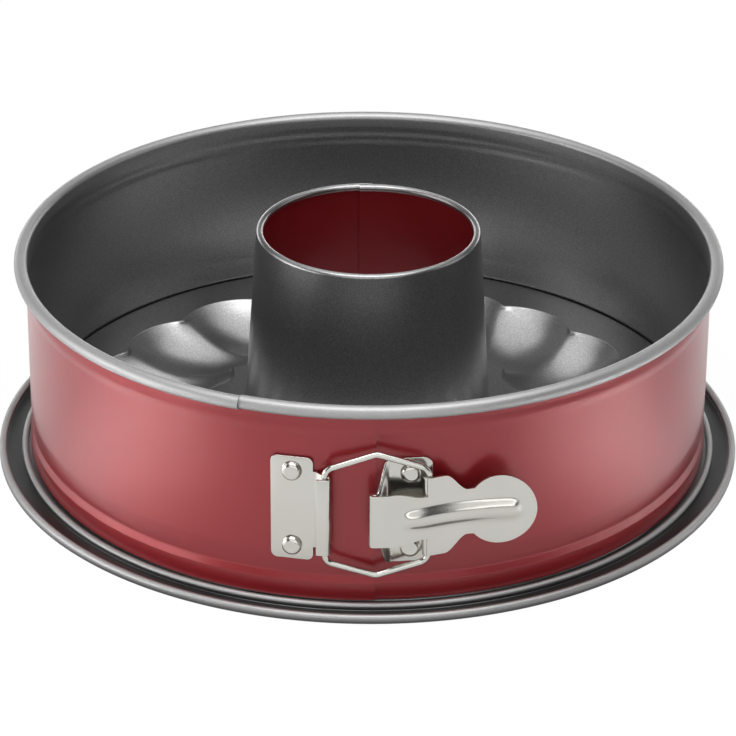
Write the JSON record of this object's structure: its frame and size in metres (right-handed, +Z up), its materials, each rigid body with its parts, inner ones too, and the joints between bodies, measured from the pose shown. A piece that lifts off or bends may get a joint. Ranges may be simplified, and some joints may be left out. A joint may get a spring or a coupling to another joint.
{
  "type": "springform pan with tube base",
  "caption": "Round springform cake pan: a sheet-metal band closed by a toggle clasp stands on a fluted base with a tapered centre tube, and lifts off when opened.",
  "frame": {"origin": "on the pan's axis, level with the underside of the base, which stands on the table", "axes": "+Z up along the pan's axis, -Y from the axis towards the clasp, +X to the clasp's right as seen from outside"},
  "size_m": [0.2868, 0.2868, 0.0897],
  "materials": {
    "grey_nonstick": "satin dark grey non-stick coating",
    "red_enamel": "satin metallic red outside, grey non-stick coating inside",
    "nickel": "bright nickel plate"
  },
  "bodies": {
    "tube_base": {"base_disc": "grey_nonstick", "tube": "grey_nonstick"},
    "ring_right": {"band_right": "red_enamel", "lever_bracket": "nickel", "rivet_right_lower": "nickel", "rivet_right_upper": "nickel"},
    "ring_left": {"band_left": "red_enamel", "bail_plate": "nickel", "rivet_left_lower": "nickel", "rivet_left_upper": "nickel"},
    "lever": {"lever": "nickel"},
    "bail": {"wire_bail": "nickel"}
  },
  "joints": [
    {"name": "band_lift", "type": "slide", "parent": "tube_base", "child": "ring_right", "axis": [0, 0, 1], "range_m": [0, 0.09]},
    {"name": "lever_flip", "type": "hinge", "parent": "ring_right", "child": "lever", "pos_m": [-0.00064, -0.1384, 0.04], "axis": [0, 0, -1], "range_deg": [0, 110]},
    {"name": "band_spring", "type": "hinge", "parent": "ring_right", "child": "ring_left", "pos_m": [0, 0.1353, 0.04], "axis": [0, 0, -1], "range_deg": [0, 2.8]},
    {"name": "bail_swing", "type": "hinge", "parent": "ring_left", "child": "bail", "pos_m": [-0.01815, -0.13539, 0.04], "axis": [0, 0, -1], "range_deg": [0, 34]}
  ],
  "couplings": [
    {"joint": "band_spring", "follows": "lever_flip", "ratio": 0.025},
    {"joint": "bail_swing", "follows": "lever_flip", "ratio": 0.3}
  ]
}
